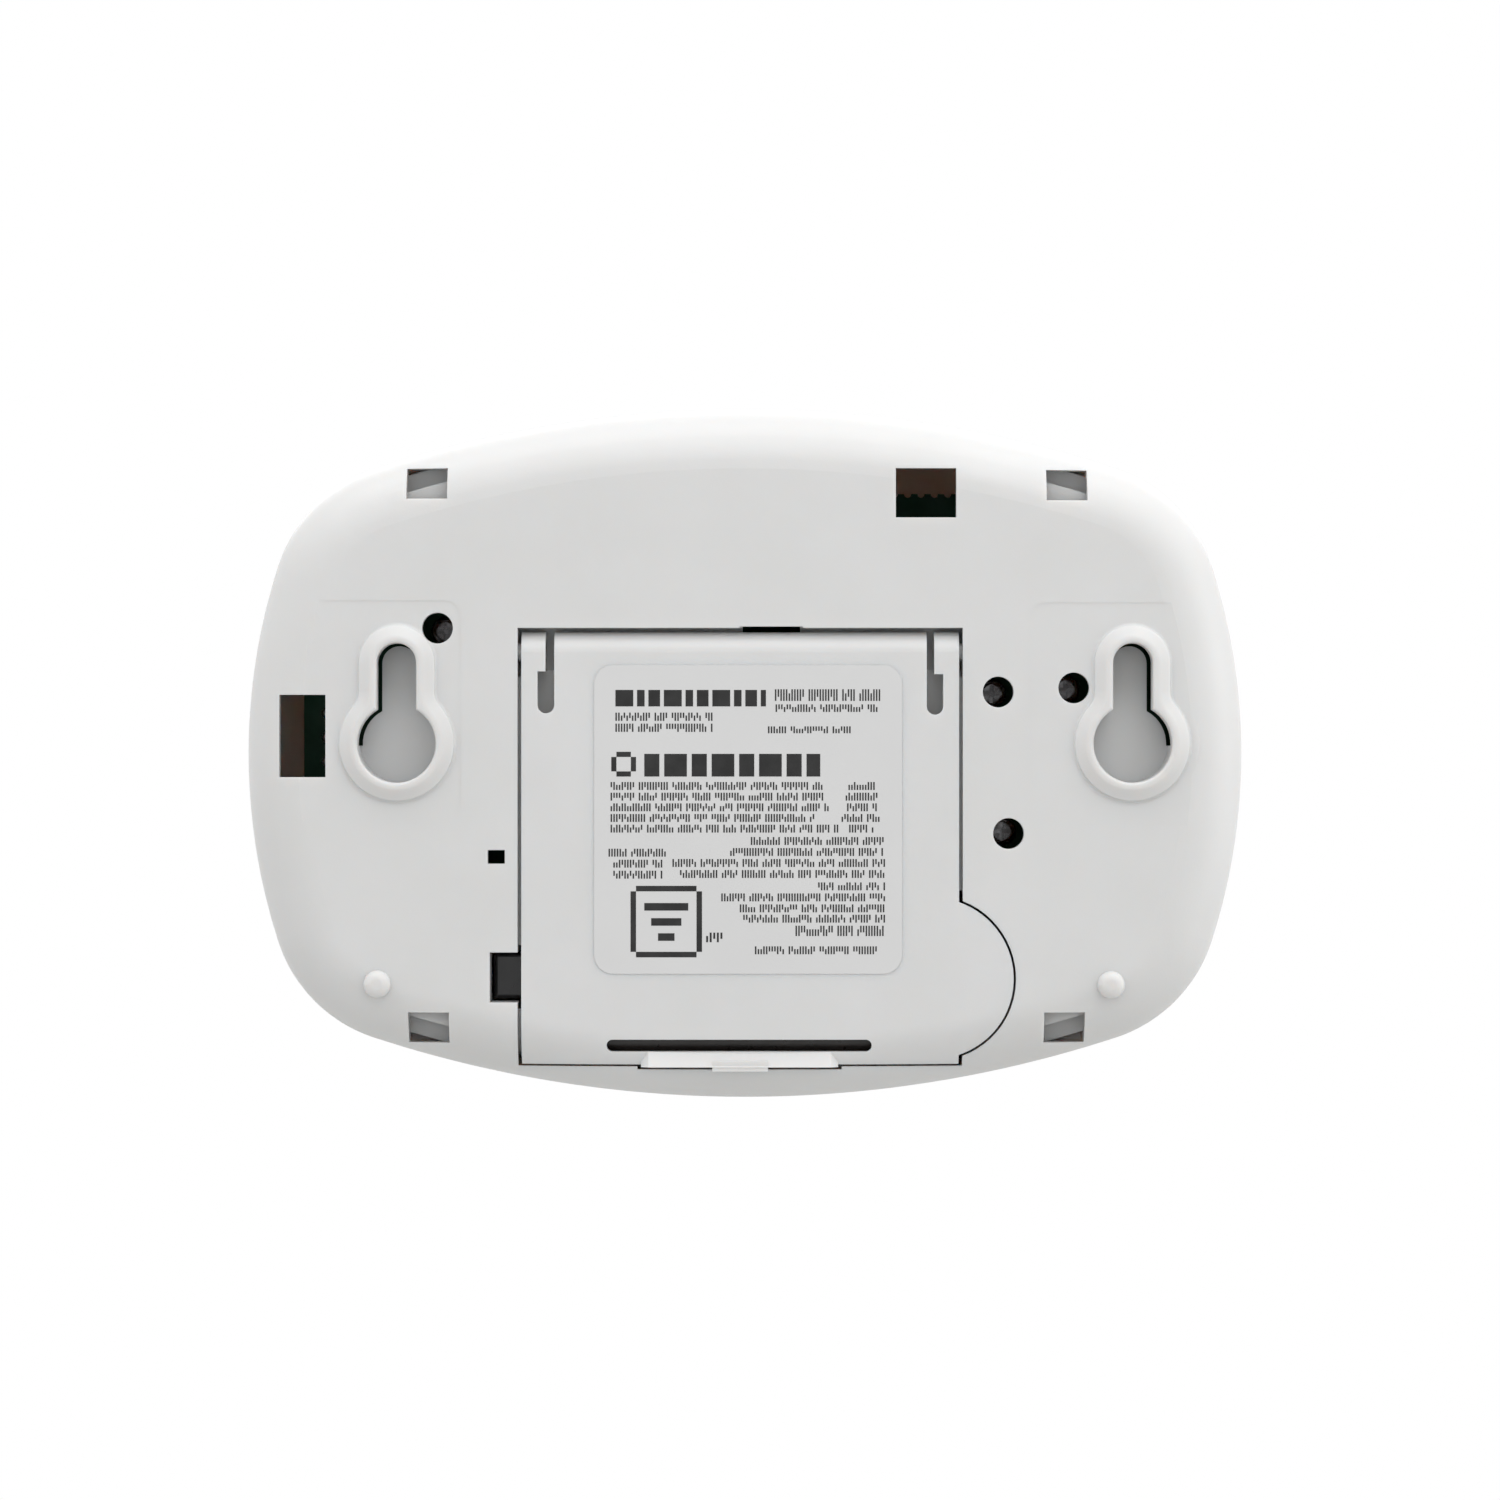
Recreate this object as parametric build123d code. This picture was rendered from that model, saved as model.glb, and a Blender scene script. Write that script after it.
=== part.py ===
from build123d import *
import os
from math import sqrt

# Carbon monoxide detector, hung on a wall by two keyholes and run by a 9 V battery.
# Millimetres.  +Z is up.  The wall is the plane Y = 0 and the room is towards -Y.
# The origin is midway between the two keyhole entries.  A "depth" below is the
# distance from the wall into the detector, so a point at depth d has Y = -d.

os.makedirs("parts", exist_ok=True)

# ---- overall form ------------------------------------------------------------
FORM_X, FORM_Z = 2.86, -1.46        # middle of the outline
HALF_WIDTH, HALF_HEIGHT = 73.0, 50.5
LONG_ARC, SHORT_ARC = 175.0, 89.6   # radii of the bowed long and short edges
CORNER = 22.0
BACK = 1.6                          # depth of the flat back, below rims and pegs
PARTING = 14.0                      # depth of the joint line between the shells
FRONT = 38.0                        # depth of the front's highest point
WALL = 2.2
SHELL_PLAY = 0.1                    # between nested pieces of the two shells
TONGUE, TONGUE_RISE = 1.3, 1.6      # thickness and height of the lip that enters the back cover
GROOVE, GROOVE_WIDTH = 0.5, 0.7     # shadow line round the joint
BACK_ROLL, FRONT_ROLL = 9.0, 10.0   # radii of the rolled edges
CROWN = 600.0                       # radius of the domed front

# ---- keyhole hangers and spacer pegs -----------------------------------------
KEYHOLE_X = 53.5
ENTRY_R, SLOT_R, SLOT_TOP = 5.7, 2.85, 11.73
RIM, RIM_SLOPE = 2.6, 0.95          # width of the raised bead, and of the slope on its outer side
RIM_LIP = 0.45                      # rounding at the hole
RIM_CREST, RIM_FOOT = 1.2, 0.5      # rounding at the top and bottom of the slope
RIM_CORNER = 3.0                    # rounding of the bead's shoulders beside the slot
CUP_DEPTH, CUP_WALL = 8.0, 1.4
CUP_GAP = 0.3                       # sliver left open along one side of a cup
PEGS = [(56.35, -35.0), (-50.4, -35.1)]
PEG_R, PEG_DOME = 2.0, 1.3
PATCH_STEP = 0.06                   # shallow recess round each keyhole
PATCHES = [(44.2, 68.5, -11.8, 20.8), (-64.1, -38.5, -12.0, 20.5)]

# ---- openings of the back ----------------------------------------------------
SCREWS = [(47.6, 16.8), (-34.0, 7.5), (-45.0, 8.1), (-35.5, -13.1)]
ACCESS_R = 2.25
SNAPS = [(49.2, 37.9), (-44.05, 37.65), (48.95, -41.4), (-43.7, -41.4)]
SNAP_W, SNAP_H = 6.0, 4.5           # window
CATCH_W, CATCH_DEPTH, CATCH_FLOOR = 9.0, 5.8, 8.9
CATCH_INSET, CATCH_THICK = 5.0, 3.4  # from the outline to the near side of a catch, and across it
WINDOWS = [(-27.9, -19.1, 32.9, 40.1), (63.9, 70.7, -4.9, 7.1), (37.8, 40.3, -17.5, -15.5)]

# ---- battery door and its opening --------------------------------------------
DOOR_X0, DOOR_X1 = -28.3, 35.4
DOOR_BOTTOM = -46.75
DOOR_GAP = 0.55
DOOR_THICK = 2.0
HINGE_Z, HINGE_DEPTH, HINGE_R = 13.3, 4.55, 2.95
HINGE_GAP = 0.6                     # above the rolled upper edge
PIN_R, PIN_LENGTH, PIN_PLAY = 1.325, 2.3, 0.07
BULGE_X, BULGE_Z, BULGE_R = -24.45, -34.25, 11.8
LATCH_X0, LATCH_X1 = -10.7, 18.0
LATCH_TOP, LATCH_BOTTOM = -44.85, -47.1
LATCH_IN, LATCH_OUT, LATCH_ROOT = 1.95, 0.95, 4.6       # depths of its leaning face and its root
LATCH_BEVEL = 1.1
LIP_X0, LIP_X1, LIP_BOTTOM = -0.5, 7.6, -47.7
GRIP_X, GRIP_Z, GRIP_LENGTH, GRIP_HEIGHT = 3.7, -43.97, 38.6, 1.75     # slot above the latch
ARM_SLOTS = [(30.6, 31.9, 33.05, 10.5, 4.4), (-23.6, -24.7, -26.0, 10.1, 4.2)]
RIB_XS, RIB_THICK, RIB_DEPTH = (-12.0, 20.0), 1.2, 1.2
GUARD_X, GUARD_Z0, GUARD_Z1, GUARD_DEPTH = -17.3, -45.6, -19.4, 5.0         # rib over the battery's end
LABEL = (-20.0, 24.8, -33.5, 11.4)
LABEL_THICK = 0.12

# ---- battery bay -------------------------------------------------------------
LEDGE_WIDTH, LEDGE_DROP = 1.7, 0.4  # rest for the door's sides, and its play below the door
STEP_Z, STEP_DEPTH = 2.5, 7.0       # floor under the hinge arms' slots
SHELF_Z, SHELF_DEPTH = -19.0, 8.0
POCKET_BOTTOM, POCKET_DEPTH = -46.2, 23.4
BAY_WALL = 1.5
BOSS_REACH, BOSS_BELOW, BOSS_ABOVE = 3.2, 4.0, 5.0      # blocks that hold the hinge pins
SCOOP_GAP = 0.35                    # round the door's finger bulge
STOP_GAP, STOP_THICK, STOP_TOP = 0.4, 1.5, 4.2          # end stops beside the battery
FENCE = 1.2                         # wall on the shelf, above the finger space
STOPS = [(-50.0, -42.5), (-22.5, -18.0)]
NOTCH_X, NOTCH_Z0, NOTCH_Z1 = 40.0, -37.7, -30.4
TOP_NOTCH_X0, TOP_NOTCH_X1 = -5.6, 3.6

# ---- battery and its connector -----------------------------------------------
BATTERY_X0, BATTERY_LENGTH = -17.5, 46.0
BATTERY_END = BATTERY_X0 + BATTERY_LENGTH
BATTERY_Z, BATTERY_HEIGHT = -32.65, 26.3
BATTERY_TOP, BATTERY_THICK = 5.6, 17.3
TERMINAL_PITCH, TERMINAL_LENGTH = 12.7, 2.5
TERMINAL_DEPTH = BATTERY_TOP + BATTERY_THICK / 2
STUD_Z, SOCKET_Z = BATTERY_Z + TERMINAL_PITCH / 2, BATTERY_Z - TERMINAL_PITCH / 2
STUD_R, STUD_BASE_R, SOCKET_R, SOCKET_BORE_R = 2.85, 4.2, 4.3, 2.9
CONTACT_X, CONTACT_THICK, LEG_HALF = BATTERY_END + TERMINAL_LENGTH + 0.2, 0.5, 1.0
CONNECTOR_Z0, CONNECTOR_Z1, CONNECTOR_TOP = -43.6, -21.8, 8.0

# ---- board -------------------------------------------------------------------
BOARD_TOP, BOARD_THICK = 25.3, 1.6
BOARD_BACK = BOARD_TOP + BOARD_THICK
BOARD_X0, BOARD_X1, BOARD_Z0, BOARD_Z1 = -64.0, 68.9, -48.0, 37.4
BOARD_INSET = 4.5                   # from the outline to the board's edge
BREAKOFFS, BREAKOFF_X, BREAKOFF_PITCH, BREAKOFF_R = 5, -27.5, 2.0, 0.55
SCREW_HEAD_R, SCREW_HEAD, SCREW_R, SCREW_LENGTH = 2.2, 1.7, 1.1, 6.0
CROSS_LONG, CROSS_SHORT, CROSS_DEEP = 2.8, 0.6, 1.0
POST_R, PEG_POSTS, PEG_POST_R = 3.0, [(55, -30), (10, 33), (-20, -38)], 2.5

# ---- sounder, sensor, button and lamps ---------------------------------------
HORN_X, HORN_Z, HORN_R = 44.0, -10.0, 17.5
HORN_END = 31.5                     # depth of the sounder's open rim
DISC_DEPTH, DISC_THICK = 29.4, 0.4
HORN_PIN_X, HORN_PIN_R, HORN_PIN_HOLE = 8.0, 0.8, 1.2
GRILLE_SLOTS, GRILLE_PITCH, GRILLE_WIDTH, GRILLE_R = 7, 4.0, 1.8, 15.5
SENSOR_X, SENSOR_Z, SENSOR_R = -52.0, -25.0, 9.0
SENSOR_CAP_R, SENSOR_HOLE_R, SENSOR_TOP, SENSOR_SHOULDER = 6.5, 1.6, 11.0, 12.5
SENSOR_PINS = [(0, 5.5), (-4.8, -2.8), (4.8, -2.8)]
VENT_SLOTS, VENT_PITCH, VENT_LENGTH, VENT_WIDTH = 5, 3.4, 16.0, 1.6
BUTTON_X, BUTTON_Z, BUTTON_W, BUTTON_H = 2.86, 4.0, 25.0, 14.0
BUTTON_PLAY, BUTTON_FLANGE, BUTTON_WALL = 0.3, 1.3, 1.5
FLANGE_DEPTH, FLANGE_THICK, STEM_R, STEM_END = 33.4, 1.2, 2.0, 32.05
SWITCH_HALF, SWITCH_HEIGHT, PLUNGER_R, PLUNGER_PLAY, PLUNGER_END = 3.0, 3.4, 1.68, 0.07, 31.5
LAMP_Z, LAMP_XS = 24.0, {"led_red": -9.14, "led_amber": 2.86, "led_green": 14.86}
LAMP_R, LAMP_COLLAR_R, LAMP_END, LENS_R, LENS_FLANGE_R, LENS_DEPTH = 1.45, 1.9, 31.8, 1.7, 2.5, 32.2


# ---- parts on the board, by their middles and sizes --------------------------
CONTROLLER = (12.0, 26.0, 10.0, 6.0, 8)                 # x, z, width, height, legs a side
DRIVER = (50.0, 26.0, 6.0, 4.4, 4)
CANS = [(30.0, 35.0, 3.1, 11.0), (-33.0, 27.0, 4.0, 12.0)]
TRANSFORMER = (-12.0, 27.0, 9.0)
CRYSTAL = (0.0, 33.0, 8.0, 3.0)
RESISTORS = [(24 + 3.2 * i, 25 + 4 * (i % 2), i % 2 == 0) for i in range(6)]
CAPACITORS = [(-56 + 3.4 * i, 24 + 3 * (i % 2), i % 2 == 1) for i in range(5)]


# ---- helpers -----------------------------------------------------------------
def slab(face, depth, thickness):
    """Thicken a face drawn in X and Z, from a depth towards the room."""
    return extrude(Plane.XZ.offset(depth) * face, amount=thickness)


def block(x0, x1, z0, z1, d0, d1):
    """Box between two X, two Z and two depths."""
    middle = Pos((x0 + x1) / 2, -(d0 + d1) / 2, (z0 + z1) / 2)
    return middle * Box(abs(x1 - x0), abs(d1 - d0), abs(z1 - z0))


def panel(x0, x1, z0, z1, corner=0.0):
    """Rectangle in X and Z with rounded corners."""
    place = Pos((x0 + x1) / 2, (z0 + z1) / 2)
    if corner:
        return place * RectangleRounded(abs(x1 - x0), abs(z1 - z0), corner)
    return place * Rectangle(abs(x1 - x0), abs(z1 - z0))


def post(x, z, radius, d0, d1):
    """Round post along Y between two depths."""
    return slab(Pos(x, z) * Circle(radius), d0, d1 - d0)


def ring(x, z, outer, inner, d0, d1):
    """Round tube along Y between two depths."""
    return post(x, z, outer, d0, d1) - post(x, z, inner, d0 - 1, d1 + 1)


def bar(x0, x1, z, depth, radius):
    """Round bar along X."""
    return Pos((x0 + x1) / 2, -depth, z) * Rot(0, 90, 0) * Cylinder(radius, abs(x1 - x0))


def edges_at(shape, depth):
    """Edges that lie in one plane parallel to the wall."""
    return shape.edges().filter_by_position(Axis.Y, -depth - 0.01, -depth + 0.01)


def edges_along(shape, pattern, depth):
    """Edges of a shape, in one plane parallel to the wall, that lie on the edges of a pattern there."""
    middles = [e.center() for e in edges_at(pattern, depth)]
    return [e for e in edges_at(shape, depth) if min((e.center() - m).length for m in middles) < 0.05]


def joined(shapes):
    """Fuse a list of shapes."""
    shapes = list(shapes)
    return shapes[0].fuse(*shapes[1:]) if len(shapes) > 1 else shapes[0]


def save(shape, node):
    shape.label = node
    export_step(shape, f"parts/{node}.step")


# ---- overall form ------------------------------------------------------------
def outline(inset=0.0):
    """The bowed, round-cornered outline, moved inwards by a wall thickness."""
    long_reach = LONG_ARC - HALF_HEIGHT
    short_reach = SHORT_ARC - HALF_WIDTH
    face = Pos(0, -long_reach) * Circle(LONG_ARC - inset)
    face &= Pos(0, long_reach) * Circle(LONG_ARC - inset)
    face &= Pos(-short_reach, 0) * Circle(SHORT_ARC - inset)
    face &= Pos(short_reach, 0) * Circle(SHORT_ARC - inset)
    corners = [v for v in face.vertices() if abs(v.X) > HALF_WIDTH / 2 and abs(v.Y) > HALF_HEIGHT / 2]
    return Pos(FORM_X, FORM_Z) * fillet(corners, CORNER - inset)


def back_form(inset=0.0, end=PARTING):
    """Solid back half, with a flat back and rolled edges, shrunk by a wall thickness."""
    start = BACK + inset
    body = slab(outline(inset), start, end - start)
    return fillet(edges_at(body, start), BACK_ROLL - inset)


def front_form(inset=0.0):
    """Solid front half, with a domed face and rolled edges, shrunk by a wall thickness."""
    body = slab(outline(inset), PARTING, FRONT - PARTING)
    body &= Pos(FORM_X, CROWN - FRONT, FORM_Z) * Sphere(CROWN - inset)
    rim = [e for e in body.edges() if e.center().Y < -PARTING - 5 and e.length > 5]
    rim = [e for e in rim if e.position_at(0.5).Y < -PARTING - 5 and abs(e.tangent_at(0.5).Y) < 0.9]
    return fillet(rim, FRONT_ROLL - inset)


# ---- back cover --------------------------------------------------------------
def keyhole(x, grow=0.0):
    """Entry circle with a slot above it."""
    width = 2 * (SLOT_R + grow)
    shape = Circle(ENTRY_R + grow)
    shape += Pos(0, SLOT_TOP / 2) * Rectangle(width, SLOT_TOP)
    shape += Pos(0, SLOT_TOP) * Circle(SLOT_R + grow)
    return Pos(x, 0) * shape


def rim_profile(x):
    """Outside of the raised bead, with its two inner corners rounded."""
    shape = keyhole(0, RIM)
    corners = [v for v in shape.vertices() if ENTRY_R - 1 < v.Y < ENTRY_R + RIM]
    return Pos(x, 0) * fillet(corners, RIM_CORNER)


def keyhole_rim(x):
    """Raised bead round a keyhole: a crest on the wall plane, a steep side and a blended foot."""
    foot = BACK + PATCH_STEP
    hole = slab(keyhole(x), -1, foot + 3)
    bead = slab(rim_profile(x), 0, foot + 1)
    crest = bead.faces().sort_by(Axis.Y)[-1]
    bead = chamfer(edges_at(bead, 0), foot, RIM_SLOPE, reference=crest)
    bead = fillet(edges_at(bead, 0), RIM_CREST)
    ground = slab(keyhole(x, RIM + 1.5), foot, 1)
    bead += ground
    outer = edges_along(bead, ground, foot)
    bead = fillet([e for e in edges_at(bead, foot) if e not in outer], RIM_FOOT) - hole
    return fillet(edges_along(bead, slab(keyhole(x), 0, 1), 0), RIM_LIP)


def keyhole_cup(x):
    """Cup behind a keyhole, open to the inside along its upper outer edge."""
    out = 1 if x > 0 else -1
    start = BACK + 1
    cup = slab(keyhole(x, CUP_WALL), start, CUP_DEPTH + CUP_WALL - start)
    gap = slab(keyhole(x, CUP_WALL + 1) - keyhole(x, -CUP_GAP), BACK + WALL, CUP_DEPTH)
    gap &= block(x - out * 1.5, x + out * 12, -CUP_GAP, SLOT_TOP + 6, 0, 20)
    return cup - gap


def opening_outline():
    """Outline of the battery opening, with its notch, finger bulge and room for the latch."""
    top = HINGE_Z + HINGE_R + HINGE_GAP
    shape = panel(DOOR_X0 - DOOR_GAP, DOOR_X1 + DOOR_GAP, DOOR_BOTTOM - 0.3, top)
    shape += Pos(BULGE_X, BULGE_Z) * Circle(BULGE_R + SCOOP_GAP)
    shape += panel(DOOR_X1, NOTCH_X, NOTCH_Z0, NOTCH_Z1)
    shape += panel(LATCH_X0 - DOOR_GAP, LATCH_X1 + DOOR_GAP, LATCH_BOTTOM - 0.4, LATCH_TOP)
    return shape


def bay_shape(grow, extra):
    """Stepped battery bay: hinge trough, step, shelf and battery pocket, each a little larger."""
    x0, x1 = DOOR_X0 - DOOR_GAP - grow, DOOR_X1 + DOOR_GAP + grow
    trough = bar(x0, x1, HINGE_Z, HINGE_DEPTH, HINGE_R + HINGE_GAP + grow)
    step = block(x0, x1, STEP_Z, HINGE_Z, BACK, STEP_DEPTH + extra)
    shelf = block(x0, x1, SHELF_Z, STEP_Z + grow, BACK, SHELF_DEPTH + extra)
    pocket = block(x0, x1, POCKET_BOTTOM - grow, SHELF_Z + grow, BACK, POCKET_DEPTH + extra)
    scoop = post(BULGE_X, BULGE_Z, BULGE_R + SCOOP_GAP + grow, BACK, POCKET_DEPTH + extra)
    notch = block(x1 - 1, NOTCH_X + grow, NOTCH_Z0 - grow, NOTCH_Z1 + grow, BACK, POCKET_DEPTH + extra)
    return joined([trough, step, shelf, pocket, scoop, notch])


def hinge_bosses():
    """Blocks beside the opening that hold the ends of the hinge pins."""
    left, right = DOOR_X0 - DOOR_GAP, DOOR_X1 + DOOR_GAP
    z0, z1, end = HINGE_Z - BOSS_BELOW, HINGE_Z + BOSS_ABOVE, SHELF_DEPTH + BAY_WALL
    return joined(block(x0, x1, z0, z1, BACK + 0.6, end)
                  for x0, x1 in [(left - BOSS_REACH, left), (right, right + BOSS_REACH)])


def battery_bay():
    """Walls of the battery bay, kept inside the shells."""
    room = back_form(1.0) + slab(outline(WALL + 2 * SHELL_PLAY), PARTING, 20)
    return (bay_shape(BAY_WALL, BAY_WALL) & room) + hinge_bosses()


def door_ledges():
    """Narrow rests along the sides of the opening, just under the door."""
    left, right = DOOR_X0 - DOOR_GAP, DOOR_X1 + DOOR_GAP
    top, depth = HINGE_Z - HINGE_R - HINGE_GAP, CONNECTOR_TOP - 0.6
    strips = block(right - LEDGE_WIDTH, right, NOTCH_Z1 + 1, top, BACK, depth)
    strips += block(right - LEDGE_WIDTH, right, POCKET_BOTTOM, NOTCH_Z0 - 1, BACK, depth)
    strips += block(left, left + LEDGE_WIDTH, BULGE_Z + BULGE_R + 1, top, BACK, depth)
    return strips & back_form(DOOR_THICK + LEDGE_DROP)


def bay_cavity():
    """Space inside the battery bay, with ledges and end stops left standing in it."""
    room = back_form(WALL) + slab(outline(WALL + BAY_WALL), PARTING, 20)
    cavity = bay_shape(0, 0) & room
    stop_x = BATTERY_X0 - STOP_GAP
    for z0, z1 in STOPS:
        cavity -= block(stop_x - STOP_THICK, stop_x, z0, z1, STOP_TOP, 30) & back_form(DOOR_THICK + 0.6)
    cavity -= block(DOOR_X0 - 1, stop_x, SHELF_Z, SHELF_Z + FENCE, STOP_TOP, SHELF_DEPTH + 1)
    return cavity - door_ledges()


def top_notch():
    """Gap in the upper edge of the opening, clear through to the inside."""
    top = HINGE_Z + HINGE_R + HINGE_GAP
    mouth = block(TOP_NOTCH_X0, TOP_NOTCH_X1, top - 1, top + 0.2, -1, HINGE_DEPTH)
    return mouth + block(TOP_NOTCH_X0 + 0.4, TOP_NOTCH_X1 - 0.4, top - 2, top + 5, HINGE_DEPTH - 0.5, 9)


def back_cover():
    form = back_form()
    for x0, x1, z0, z1 in PATCHES:
        form -= slab(panel(x0, x1, z0, z1, 2.5), BACK - 1, 1 + PATCH_STEP)
    for x, z in PEGS:
        peg = post(x, z, PEG_R, 0, BACK + 1)
        form += fillet(edges_at(peg, 0), PEG_DOME)
    form -= back_form(WALL, PARTING + 1)
    for side in (-1, 1):
        form += keyhole_rim(side * KEYHOLE_X)
        form += keyhole_cup(side * KEYHOLE_X)
    form += battery_bay()
    for side in (-1, 1):
        form -= slab(keyhole(side * KEYHOLE_X), -1, CUP_DEPTH + 1)
    form -= slab(opening_outline(), -1, PARTING) - back_form(DOOR_THICK + LEDGE_DROP)
    form -= bay_cavity()
    right = DOOR_X1 + DOOR_GAP
    form -= block(right - 7.4, right, CONNECTOR_Z0 - 1, CONNECTOR_Z1 + 0.8, 20, 30)
    form -= top_notch()
    form -= bar(DOOR_X0 - 3, DOOR_X1 + 3, HINGE_Z, HINGE_DEPTH, PIN_R + PIN_PLAY)
    for x, z in SCREWS:
        form -= post(x, z, ACCESS_R, -1, 12)
    for x, z in SNAPS:
        form -= block(x - SNAP_W / 2, x + SNAP_W / 2, z - SNAP_H / 2, z + SNAP_H / 2, -1, 12)
    for x0, x1, z0, z1 in WINDOWS:
        form -= block(x0, x1, z0, z1, -1, 12)
    return form


# ---- front housing -----------------------------------------------------------
def snap_catch(x, z):
    """Catch behind a snap window, standing up from the front shell and following its edge."""
    out = 1 if z > 0 else -1
    zone = block(x - CATCH_W / 2, x + CATCH_W / 2, z - out * 7, z + out * 7, 0, BOARD_TOP)
    catch = slab(outline(CATCH_INSET) - outline(CATCH_INSET + CATCH_THICK), CATCH_DEPTH, 30)
    floor = slab(outline(WALL + SHELL_PLAY) - outline(CATCH_INSET + 1), CATCH_FLOOR, 1.5)
    web = slab(outline(WALL + SHELL_PLAY) - outline(WALL + TONGUE), CATCH_FLOOR, 10)
    rib = block(x - 0.8, x + 0.8, z - out * 3, z + out * 7, CATCH_FLOOR, 25)
    return (catch + floor + web + rib) & zone


def grille():
    """Upright slots over the sounder, as long as the chords of a circle."""
    slots = []
    for i in range(GRILLE_SLOTS):
        x = GRILLE_PITCH * (i - (GRILLE_SLOTS - 1) / 2)
        length = 2 * sqrt(GRILLE_R ** 2 - x ** 2)
        slots.append(slab(Pos(HORN_X + x, HORN_Z) * SlotOverall(length, GRILLE_WIDTH, rotation=90), 25, 20))
    return joined(slots)


def sensor_vents():
    """Short level slots in front of the gas cell."""
    middle = (VENT_SLOTS - 1) / 2
    return joined(slab(Pos(SENSOR_X, SENSOR_Z + VENT_PITCH * (i - middle)) *
                       SlotOverall(VENT_LENGTH, VENT_WIDTH), 25, 20) for i in range(VENT_SLOTS))


def button_face(grow=0.0):
    return Pos(BUTTON_X, BUTTON_Z) * SlotOverall(BUTTON_W + 2 * grow, BUTTON_H + 2 * grow)


def button_guide():
    """Wall behind the front that the button's flange slides in."""
    inner = BUTTON_FLANGE + BUTTON_PLAY
    return slab(button_face(inner + BUTTON_PLAY + 1) - button_face(inner), FLANGE_DEPTH - 1.2, 6)


def front_insides():
    """Posts, guides and catches that stand on the inner side of the front."""
    inside = [post(x, z, POST_R, BOARD_BACK, FRONT - 1) for x, z in SCREWS]
    inside += [post(x, z, PEG_POST_R, BOARD_BACK, FRONT - 1) for x, z in PEG_POSTS]
    inside += [button_guide(), ring(HORN_X, HORN_Z, HORN_R + 1.5, HORN_R + 0.2, HORN_END - 1, FRONT - 1)]
    inside += [snap_catch(x, z) for x, z in SNAPS]
    return joined(inside) & (front_form(WALL / 2) + back_form(WALL + SHELL_PLAY))


def front_housing():
    form = front_form() - front_form(WALL)
    inner = outline(WALL + SHELL_PLAY + TONGUE)
    tongue = slab(outline(WALL + SHELL_PLAY) - inner, PARTING - TONGUE_RISE, TONGUE_RISE + 3.4)
    tongue += slab(outline(WALL / 2) - inner, PARTING + 1, 2.4)
    tongue -= block(DOOR_X0 - 8, DOOR_X1 + 8, FORM_Z - 60, POCKET_BOTTOM + 6, 0, 30)
    form = form + tongue + front_insides()
    form -= slab(outline() - outline(GROOVE), PARTING - 1, 1 + GROOVE_WIDTH)
    form -= grille() + sensor_vents() + slab(button_face(), 30, 12)
    for x in LAMP_XS.values():
        form -= post(x, LAMP_Z, LENS_R + 0.05, 30, 45)
    for x, z in SCREWS:
        form -= post(x, z, SCREW_R, BOARD_BACK - 1, BOARD_BACK + SCREW_LENGTH + 0.2)
    return form


# ---- battery door ------------------------------------------------------------
def arm_slot(edge, inner, wide, narrow_end, wide_end):
    """Slot that frees a hinge arm: narrow through the roll, then wider with a round end."""
    narrow = panel(edge, inner, narrow_end - 1, HINGE_Z + 5)
    half = abs(wide - edge) / 2
    broad = panel(edge, wide, wide_end + half, narrow_end)
    broad += Pos((edge + wide) / 2, wide_end + half) * Circle(half)
    return slab(narrow + broad, -1, 12)


def latch():
    """Raised strip with a face that leans out towards its lower edge, bevelled ends and a thumb lip."""
    side = Polyline((-LATCH_ROOT, LATCH_TOP), (-LATCH_IN, LATCH_TOP), (-LATCH_OUT, LATCH_BOTTOM),
                    (-LATCH_ROOT, LATCH_BOTTOM), close=True)
    strip = extrude(Plane.YZ.offset(LATCH_X0) * make_face(side), amount=LATCH_X1 - LATCH_X0, dir=(1, 0, 0))
    ends = [e for e in strip.edges() if e.center().Y > -LATCH_IN and e.length < 5]
    lip = block(LIP_X0, LIP_X1, LIP_BOTTOM, LATCH_BOTTOM + 1, LATCH_OUT + 0.1, LATCH_OUT + 1)
    return chamfer(ends, LATCH_BEVEL) + lip


def battery_door():
    leaf = panel(DOOR_X0, DOOR_X1, DOOR_BOTTOM, HINGE_Z) + Pos(BULGE_X, BULGE_Z) * Circle(BULGE_R)
    door = (back_form() - back_form(DOOR_THICK)) & slab(leaf, 0, PARTING)
    door += bar(DOOR_X0, DOOR_X1, HINGE_Z, HINGE_DEPTH, HINGE_R)
    door += latch()
    door -= slab(Pos(GRIP_X, GRIP_Z) * SlotOverall(GRIP_LENGTH, GRIP_HEIGHT), -1, 12)
    for slot in ARM_SLOTS:
        door -= arm_slot(*slot)
    door += bar(DOOR_X1 - 1, DOOR_X1 + PIN_LENGTH, HINGE_Z, HINGE_DEPTH, PIN_R)
    door += bar(DOOR_X0 + 1, DOOR_X0 - PIN_LENGTH, HINGE_Z, HINGE_DEPTH, PIN_R)
    for x in RIB_XS:
        door += block(x, x + RIB_THICK, -14, STEP_Z - 1, BACK + 1.5, BACK + DOOR_THICK + RIB_DEPTH)
    guard = block(GUARD_X, GUARD_X + RIB_THICK, GUARD_Z0, GUARD_Z1, BACK, GUARD_DEPTH)
    return door + (guard & back_form(DOOR_THICK / 2))


def rating_label():
    return slab(panel(*LABEL, 2.8), BACK - LABEL_THICK, LABEL_THICK)


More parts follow.
